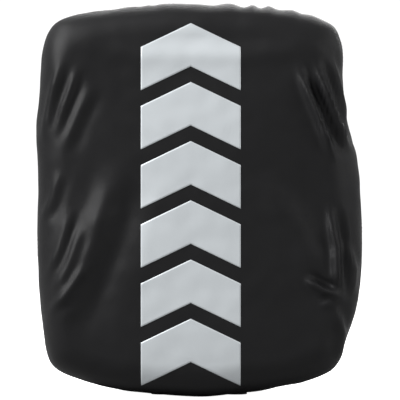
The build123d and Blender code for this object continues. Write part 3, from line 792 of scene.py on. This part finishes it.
# ---- Zips ---------------------------------------------------------------------------------------------
# Two nylon coil zips on woven tape, each with a nickelled slider and a flat pull with a hole for a cord.
tape_cloth = cloth_finish("zip_tape", (0.02, 0.02, 0.021), 0.7, 1700, 0.00012)
coil_nylon = bpy.data.materials.new("coil_nylon")
coil_nylon.use_nodes = True
tree = coil_nylon.node_tree
tree.nodes["Principled BSDF"].inputs["Base Color"].default_value = (0.02, 0.02, 0.021, 1)
tree.nodes["Principled BSDF"].inputs["Roughness"].default_value = 0.35
teeth = add(tree, "ShaderNodeTexWave", bands_direction="X")
teeth.inputs["Scale"].default_value = 105  # a tooth every 1.5 mm
where = add(tree, "ShaderNodeTexCoord")
tree.links.new(where.outputs["Object"], teeth.inputs["Vector"])
bump = add(tree, "ShaderNodeBump")
bump.inputs["Distance"].default_value = 0.0004
tree.links.new(teeth.outputs["Fac"], bump.inputs["Height"])
tree.links.new(bump.outputs["Normal"], tree.nodes["Principled BSDF"].inputs["Normal"])
dress(tape_cloth, "top_zip_tape", "pocket_zip_tape")
dress(coil_nylon, "top_zip_coil", "pocket_zip_coil")
dress(nickel, "top_zip_slider", "top_zip_pull", "pocket_zip_slider", "pocket_zip_pull")


def pillow(
    name, half_width, half_height, corner, y_base, y_face, centre, roll, crown, relief=None, rings_in=30
):
    """A pad facing along Y, open at the back: rounded outline, rolled edge, crowned face, plus relief(x, z).
    """
    sign = 1 if y_face > y_base else -1
    angles = np.linspace(0, 2 * math.pi, 200, endpoint=False)
    far = np.column_stack([np.cos(angles), np.sin(angles)])
    outer = rounded_opening(far, half_width, half_height, corner, 0.0)
    inner_scale = np.array([(half_width - roll) / half_width, (half_height - roll) / half_height])
    layers = []
    for r in np.linspace(0.03, 1, rings_in):
        rim_line = outer * inner_scale
        layers.append((rim_line * r, y_face + sign * crown * (1 - r**2)))
    for a in np.radians(np.linspace(0, 90, 8)[1:]):
        blend_in = inner_scale + (1 - inner_scale) * math.sin(a)
        layers.append((outer * blend_in, y_face - sign * abs(y_face - y_base) * (1 - math.cos(a))))
    rings = []
    for spot, y in layers:
        x, z = spot[:, 0] + centre[0], spot[:, 1] + centre[1]
        ys = np.full(len(x), y)
        if relief is not None:
            ys = ys + sign * relief(x, z) * min(1, abs(y - y_base) / abs(y_face - y_base))
        rings.append(np.column_stack([x, ys, z]))
    return ring_skin(name, np.array(rings), close_end=False)


# ---- Front pocket -------------------------------------------------------------------------------------
# A flat zipped pocket sewn on the front of the bag in the same polyester, slack enough to be slightly full.
pocket_low, pocket_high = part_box("front_pocket")
tape_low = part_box("pocket_zip_tape")[0]
pocket_middle = (0.0, (pocket_low.z + pocket_high.z) / 2)


def under_tape(x, z):
    near_tape = smoothstep(tape_low.z - 0.014, tape_low.z - 0.002, z)
    folds = 0.0006 * np.array([noise.noise(Vector((a * 30, 0, b * 18))) for a, b in zip(x, z)])
    return folds - 0.0034 * near_tape


pocket = pillow(
    "front_pocket_skin", pocket_high.x, (pocket_high.z - pocket_low.z) / 2, 0.030, pocket_high.y - 0.0004,
    pocket_low.y + 0.0006, pocket_middle, 0.012, 0.0002, under_tape,
)  # fmt: skip
seat(pocket, "bag", "front_pocket", slot="bag_cloth")
paint(pocket, polyester)

# ---- Back panel and pads ------------------------------------------------------------------------------
# The face that bears on the backrest: a flat polyester panel, and two long foam pads covered in air mesh,
# each pressed by sewn channels that the straps run in.
panel_low, panel_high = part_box("back_panel")
pads_low, pads_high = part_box("back_pads")
STRAP_HEIGHTS = {level: sum(v.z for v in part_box(f"strap_{level}_right")) / 2 for level in ("lower", "upper")}


def sewn_channels(x, z):
    """Shallow channels beside each strap, and one between them."""
    depth = np.zeros(len(z))
    lines = [h + side * 0.0185 for h in STRAP_HEIGHTS.values() for side in (-1, 1)] + [0.205]
    for line in lines:
        depth -= 0.0022 * np.exp(-(((z - line) / 0.0026) ** 2))
    return depth


mesh_cloth = bpy.data.materials.new("spacer_mesh")
mesh_cloth.use_nodes = True
tree = mesh_cloth.node_tree
shader = tree.nodes["Principled BSDF"]
shader.inputs["Roughness"].default_value = 0.8
shader.inputs["Specular IOR Level"].default_value = 0.25
where = add(tree, "ShaderNodeTexCoord")
cells = add(tree, "ShaderNodeTexVoronoi", feature="F1")
cells.inputs["Scale"].default_value = 430
cells.inputs["Randomness"].default_value = 0.12
tree.links.new(where.outputs["Object"], cells.inputs["Vector"])
holes = add(tree, "ShaderNodeMapRange")
holes.inputs["From Min"].default_value = 0.15
holes.inputs["From Max"].default_value = 0.45
tree.links.new(cells.outputs["Distance"], holes.inputs["Value"])
# The mesh is painted darker in its holes, where the bump sinks it: painted shade inside the holes.
painted_shade_tones = add(tree, "ShaderNodeMix", data_type="RGBA")
painted_shade_tones.inputs["A"].default_value = (0.006, 0.006, 0.0065, 1)
painted_shade_tones.inputs["B"].default_value = (0.045, 0.045, 0.048, 1)
tree.links.new(holes.outputs["Result"], painted_shade_tones.inputs["Factor"])
tree.links.new(painted_shade_tones.outputs["Result"], shader.inputs["Base Color"])
bump = add(tree, "ShaderNodeBump")
bump.inputs["Distance"].default_value = 0.0005
tree.links.new(holes.outputs["Result"], bump.inputs["Height"])
tree.links.new(bump.outputs["Normal"], shader.inputs["Normal"])

pad_half = (pads_high.x - 0.012) / 2
for hand, side in (("left", -1), ("right", 1)):
    pad = pillow(
        f"back_pad_{hand}", pad_half, (pads_high.z - pads_low.z) / 2, 0.022, panel_high.y - 0.0002,
        pads_high.y - 0.0022, (side * (pads_high.x - pad_half), (pads_high.z + pads_low.z) / 2), 0.010,
        0.0020, sewn_channels, 44,
    )  # fmt: skip
    seat(pad, "bag", slot="mesh_pad")
    paint(pad, mesh_cloth)
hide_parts("back_pads")

panel_outline = outline_of("back_panel", 260)
panel_middle = panel_outline.mean(0)
panel_in = inward(panel_outline)
panel_rings = []
for r in np.linspace(0.02, 1, 40):
    spot = panel_middle + (panel_outline + panel_in * 0.004 - panel_middle) * r
    panel_rings.append(np.column_stack([spot[:, 0], np.full(260, panel_high.y), spot[:, 1]]))
panel_back = np.full(260, panel_low.y - 0.0004)
panel_rings.append(np.column_stack([panel_outline[:, 0], panel_back, panel_outline[:, 1]]))
panel_rings = np.array(panel_rings)
panel_rings[..., 1] += 0.0003 * ripple(panel_rings, 40, 9.0)
panel = ring_skin("back_panel_cloth", panel_rings)
seat(panel, "bag", "back_panel", slot="bag_cloth")
paint(panel, polyester)


def ribbon(name, route, width_from, width_to, thickness, across="Z"):
    """Webbing along a smooth route: X, Y with its width in Z, or Y, Z with its width in X."""
    route = np.array(route, float)
    dense = []
    padded_route = np.vstack([2 * route[0] - route[1], route, 2 * route[-1] - route[-2]])
    for a, b, c, d in zip(padded_route, padded_route[1:], padded_route[2:], padded_route[3:]):
        steps = max(3, int(np.linalg.norm(c - b) / 0.0016))
        for t in np.linspace(0, 1, steps, endpoint=False):
            squared = (2 * a - 5 * b + 4 * c - d) * t**2
            cubed = (3 * b - a - 3 * c + d) * t**3
            dense.append(0.5 * (2 * b + (c - a) * t + squared + cubed))
    dense.append(route[-1])
    dense = np.array(dense)
    run = np.gradient(dense, axis=0)
    run /= np.linalg.norm(run, axis=1)[:, None]
    normal = np.column_stack([-run[:, 1], run[:, 0]])
    half = thickness / 2
    soft_edge = half * 0.8
    rings = []
    for spot, up in zip(dense, normal):
        ring = []
        edge_in = min(soft_edge * 1.2, (width_to - width_from) / 4)
        stations = [(width_from, 0), (width_from + edge_in, 1)]
        stations += [(w, 1) for w in np.linspace(width_from + edge_in, width_to - edge_in, 7)[1:-1]]
        stations += [(width_to - edge_in, 1), (width_to, 0)]
        for w, thick in stations:
            ring.append((spot + up * half * thick, w))
        for w, thick in stations[-2:0:-1]:
            ring.append((spot - up * half * thick, w))
        rings.append([(p[0], p[1], w) if across == "Z" else (w, p[0], p[1]) for p, w in ring])
    return ring_skin(name, np.array(rings), close_end=True)


# ---- Straps and buckles -------------------------------------------------------------------------------
# Two 25 mm webbing straps go round the backrest. Each is sewn to the back panel at both ends, crosses the
# pads, and closes with a side-release buckle. The left-hand part has its spare end folded through a keeper.
webbing_cloth = bpy.data.materials.new("ribbed_webbing")
webbing_cloth.use_nodes = True
tree = webbing_cloth.node_tree
shader = tree.nodes["Principled BSDF"]
shader.inputs["Roughness"].default_value = 0.6
shader.inputs["Specular IOR Level"].default_value = 0.35
where = add(tree, "ShaderNodeTexCoord")
ribs = add(tree, "ShaderNodeTexWave", bands_direction="Z")
ribs.inputs["Scale"].default_value = 160
picks = add(tree, "ShaderNodeTexWave", bands_direction="X")
picks.inputs["Scale"].default_value = 260
tree.links.new(where.outputs["Object"], ribs.inputs["Vector"])
tree.links.new(where.outputs["Object"], picks.inputs["Vector"])
both_ways = math_node(tree, "MULTIPLY", ribs.outputs["Fac"], picks.outputs["Fac"])
# The webbing is painted darker wherever the ribs and picks do not cross, where the bump is low: painted shade
# in the grooves of the weave.
painted_shade_tones = add(tree, "ShaderNodeMix", data_type="RGBA")
painted_shade_tones.inputs["A"].default_value = (0.010, 0.010, 0.0105, 1)
painted_shade_tones.inputs["B"].default_value = (0.034, 0.034, 0.036, 1)
tree.links.new(both_ways, painted_shade_tones.inputs["Factor"])
tree.links.new(painted_shade_tones.outputs["Result"], shader.inputs["Base Color"])
bump = add(tree, "ShaderNodeBump")
bump.inputs["Distance"].default_value = 0.0003
tree.links.new(both_ways, bump.inputs["Height"])
tree.links.new(bump.outputs["Normal"], shader.inputs["Normal"])

WEBBING = 0.0015
sewn_y = panel_high.y + 0.0010
pad_y = pads_high.y + 0.0019
female_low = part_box("buckle_female_lower")[0]
over_y = female_low.y + 0.0051
for level, z in STRAP_HEIGHTS.items():
    low, high = z - 0.0125, z + 0.0125
    right_route = [(0.124, sewn_y), (0.108, sewn_y), (0.100, sewn_y + 0.003), (0.092, pad_y - 0.0012),
                   (0.080, pad_y), (0.055, pad_y + 0.0002), (0.030, pad_y), (0.0262, pad_y + 0.0014),
                   (0.0256, over_y - 0.0012), (0.0285, over_y + 0.0001), (0.040, over_y),
                   (0.052, pad_y + 0.0020), (0.062, pad_y + 0.0018),
                   (0.072, pad_y + 0.0020)]  # fmt: skip
    left_route = [(-0.124, sewn_y), (-0.108, sewn_y), (-0.100, sewn_y + 0.003), (-0.092, pad_y - 0.0012),
                  (-0.080, pad_y), (-0.050, pad_y + 0.0002), (-0.022, pad_y), (-0.0181, pad_y + 0.0014),
                  (-0.0175, over_y - 0.0012), (-0.0205, over_y + 0.0001), (-0.034, over_y),
                  (-0.047, pad_y + 0.0020), (-0.070, pad_y + 0.0018), (-0.090, pad_y + 0.0020)]  # fmt: skip
    right = ribbon(f"strap_{level}_right_webbing", right_route, low, high, WEBBING)
    left = ribbon(f"strap_{level}_left_webbing", left_route, low, high, WEBBING)
    seat(right, "bag", f"strap_{level}_right", slot="webbing")
    seat(left, "bag", f"strap_{level}_left", slot="webbing")
    for strap in (right, left):
        paint(strap, webbing_cloth)
    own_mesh(left)
    for hand, side in (("left", -1), ("right", 1)):
        sewn_x, inner_x, under, over = side * 0.1225, side * 0.109, low + 0.003, high - 0.003
        ends = [(sewn_x, under), (sewn_x, over), (inner_x, over), (inner_x, under), (sewn_x, under)]
        ends.append((inner_x, over))
        top_face = sewn_y + WEBBING / 2
        stitch_route = [(x, top_face, h) for x, h in ends]
        box_stitches = stitch_row(f"strap_{level}_{hand}_stitches", stitch_route, [(0, 1, 0)] * 6)
        seat(box_stitches, "bag", slot="webbing")
        paint(box_stitches, thread)
    dress(acetal, f"buckle_female_{level}", f"buckle_male_{level}")
    dress(webbing_cloth, f"strap_keeper_{level}")

# ---- Grab handle --------------------------------------------------------------------------------------
# A bent steel-cored handle with a ribbed rubber grip, hung in two folded webbing tabs above the pads.
grip_low, grip_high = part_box("handle_grip")
grip_middle = (grip_low + grip_high) / 2
grip_radius = (grip_high.z - grip_low.z) / 2
CORE_RADIUS = 0.0033
grip_rings = []
stations = [(-1.0, CORE_RADIUS), (-1.0, grip_radius * 0.82), (-0.985, grip_radius * 0.95)]
for t in np.linspace(-0.96, 0.96, 120):
    rib = 0.5 + 0.5 * math.cos(t * math.pi * 17)
    stations.append((t, grip_radius * (0.95 + 0.05 * rib**0.6) - 0.0006 * (1 - abs(t)) * 0.3))
stations += [(0.985, grip_radius * 0.95), (1.0, grip_radius * 0.82), (1.0, CORE_RADIUS)]
for t, radius in stations:
    x = grip_middle.x + t * (grip_high.x - grip_low.x) / 2
    angles = np.linspace(0, 2 * math.pi, 40, endpoint=False)
    round_grip = [(radius * math.cos(a), radius * math.sin(a)) for a in angles]
    grip_rings.append([(x, grip_middle.y + out, grip_middle.z + up) for out, up in round_grip])
grip = ring_skin("handle_ribbed_grip", np.array(grip_rings), close_end=True)
seat(grip, "grab_handle", "handle_grip", slot="grip")
paint(grip, moulded_finish("ribbed_rubber", (0.016, 0.016, 0.017), 0.55))
dress(moulded_finish("coated_core", (0.02, 0.02, 0.021), 0.4), "handle_core")


def folded_tab(name, x_from, x_to, bar_y, bar_z, bar_radius, height, thickness, body="bag"):
    """A webbing tab folded round a bar and sewn flat to the back panel above it."""
    reach = bar_radius + thickness / 2 + 0.0001
    base = panel_high.y + thickness / 2 + 0.0001
    front = base + thickness * 1.05
    route = [(base, bar_z + height), (base, bar_z + height * 0.6), (base, bar_z + reach * 1.4)]
    for a in np.radians([165, 205, 245, 285, 325, 5, 45]):
        y = bar_y + reach * math.cos(a)
        route.append((max(y, base), bar_z + reach * math.sin(a)))
    route += [(front + 0.0012, bar_z + reach * 2.0), (front, bar_z + height * 0.62), (front, bar_z + height)]
    tab = ribbon(name, route, x_from, x_to, thickness, across="X")
    seat(tab, body, slot="webbing")
    paint(tab, webbing_cloth)
    x_mid = (x_from + x_to) / 2
    edge = (x_to - x_from) / 2 - 0.0015
    low_z, high_z = bar_z + height * 0.62, bar_z + height - 0.0015
    face = front + thickness / 2
    left_x, right_x = x_mid - edge, x_mid + edge
    square = [(left_x, low_z), (right_x, low_z), (right_x, high_z), (left_x, high_z), (left_x, low_z)]
    rows_of = stitch_row(f"{name}_stitches", [(x, face, z) for x, z in square], [(0, 1, 0)] * 5)
    seat(rows_of, body, slot="webbing")
    paint(rows_of, thread)
    return tab


handle_joint = next(j for j in frame["joints"] if j["name"] == "handle_swing")
handle_y, handle_z = handle_joint["pos_m"][1:]
tabs = [
    folded_tab(f"handle_tab_{hand}", x - 0.0055, x + 0.0055, handle_y, handle_z, 0.0032, 0.017, 0.0012)
    for hand, x in (("left", -0.060), ("right", 0.060))
]
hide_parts("handle_tabs")

# ---- Tie-down rings -----------------------------------------------------------------------------------
# Four plated D-rings in folded webbing tabs, sewn near the panel's corners.
plated = metal_finish("plated_wire", (0.62, 0.62, 0.63), 0.22)
for level in ("lower", "upper"):
    for hand, side in (("left", -1), ("right", 1)):
        joint = next(j for j in frame["joints"] if j["name"] == f"d_ring_{level}_{hand}_swing")
        x, y, z = joint["pos_m"]
        tab_name = f"ring_tab_{level}_{hand}"
        folded_tab(tab_name, x - 0.0070, x + 0.0070, y, z, 0.00175, 0.0195, 0.0008)
        dress(plated, f"d_ring_{level}_{hand}")
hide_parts("d_ring_tabs")

size = {"cad": [list(v) for v in cad_box], "visual": [list(v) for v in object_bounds()]}
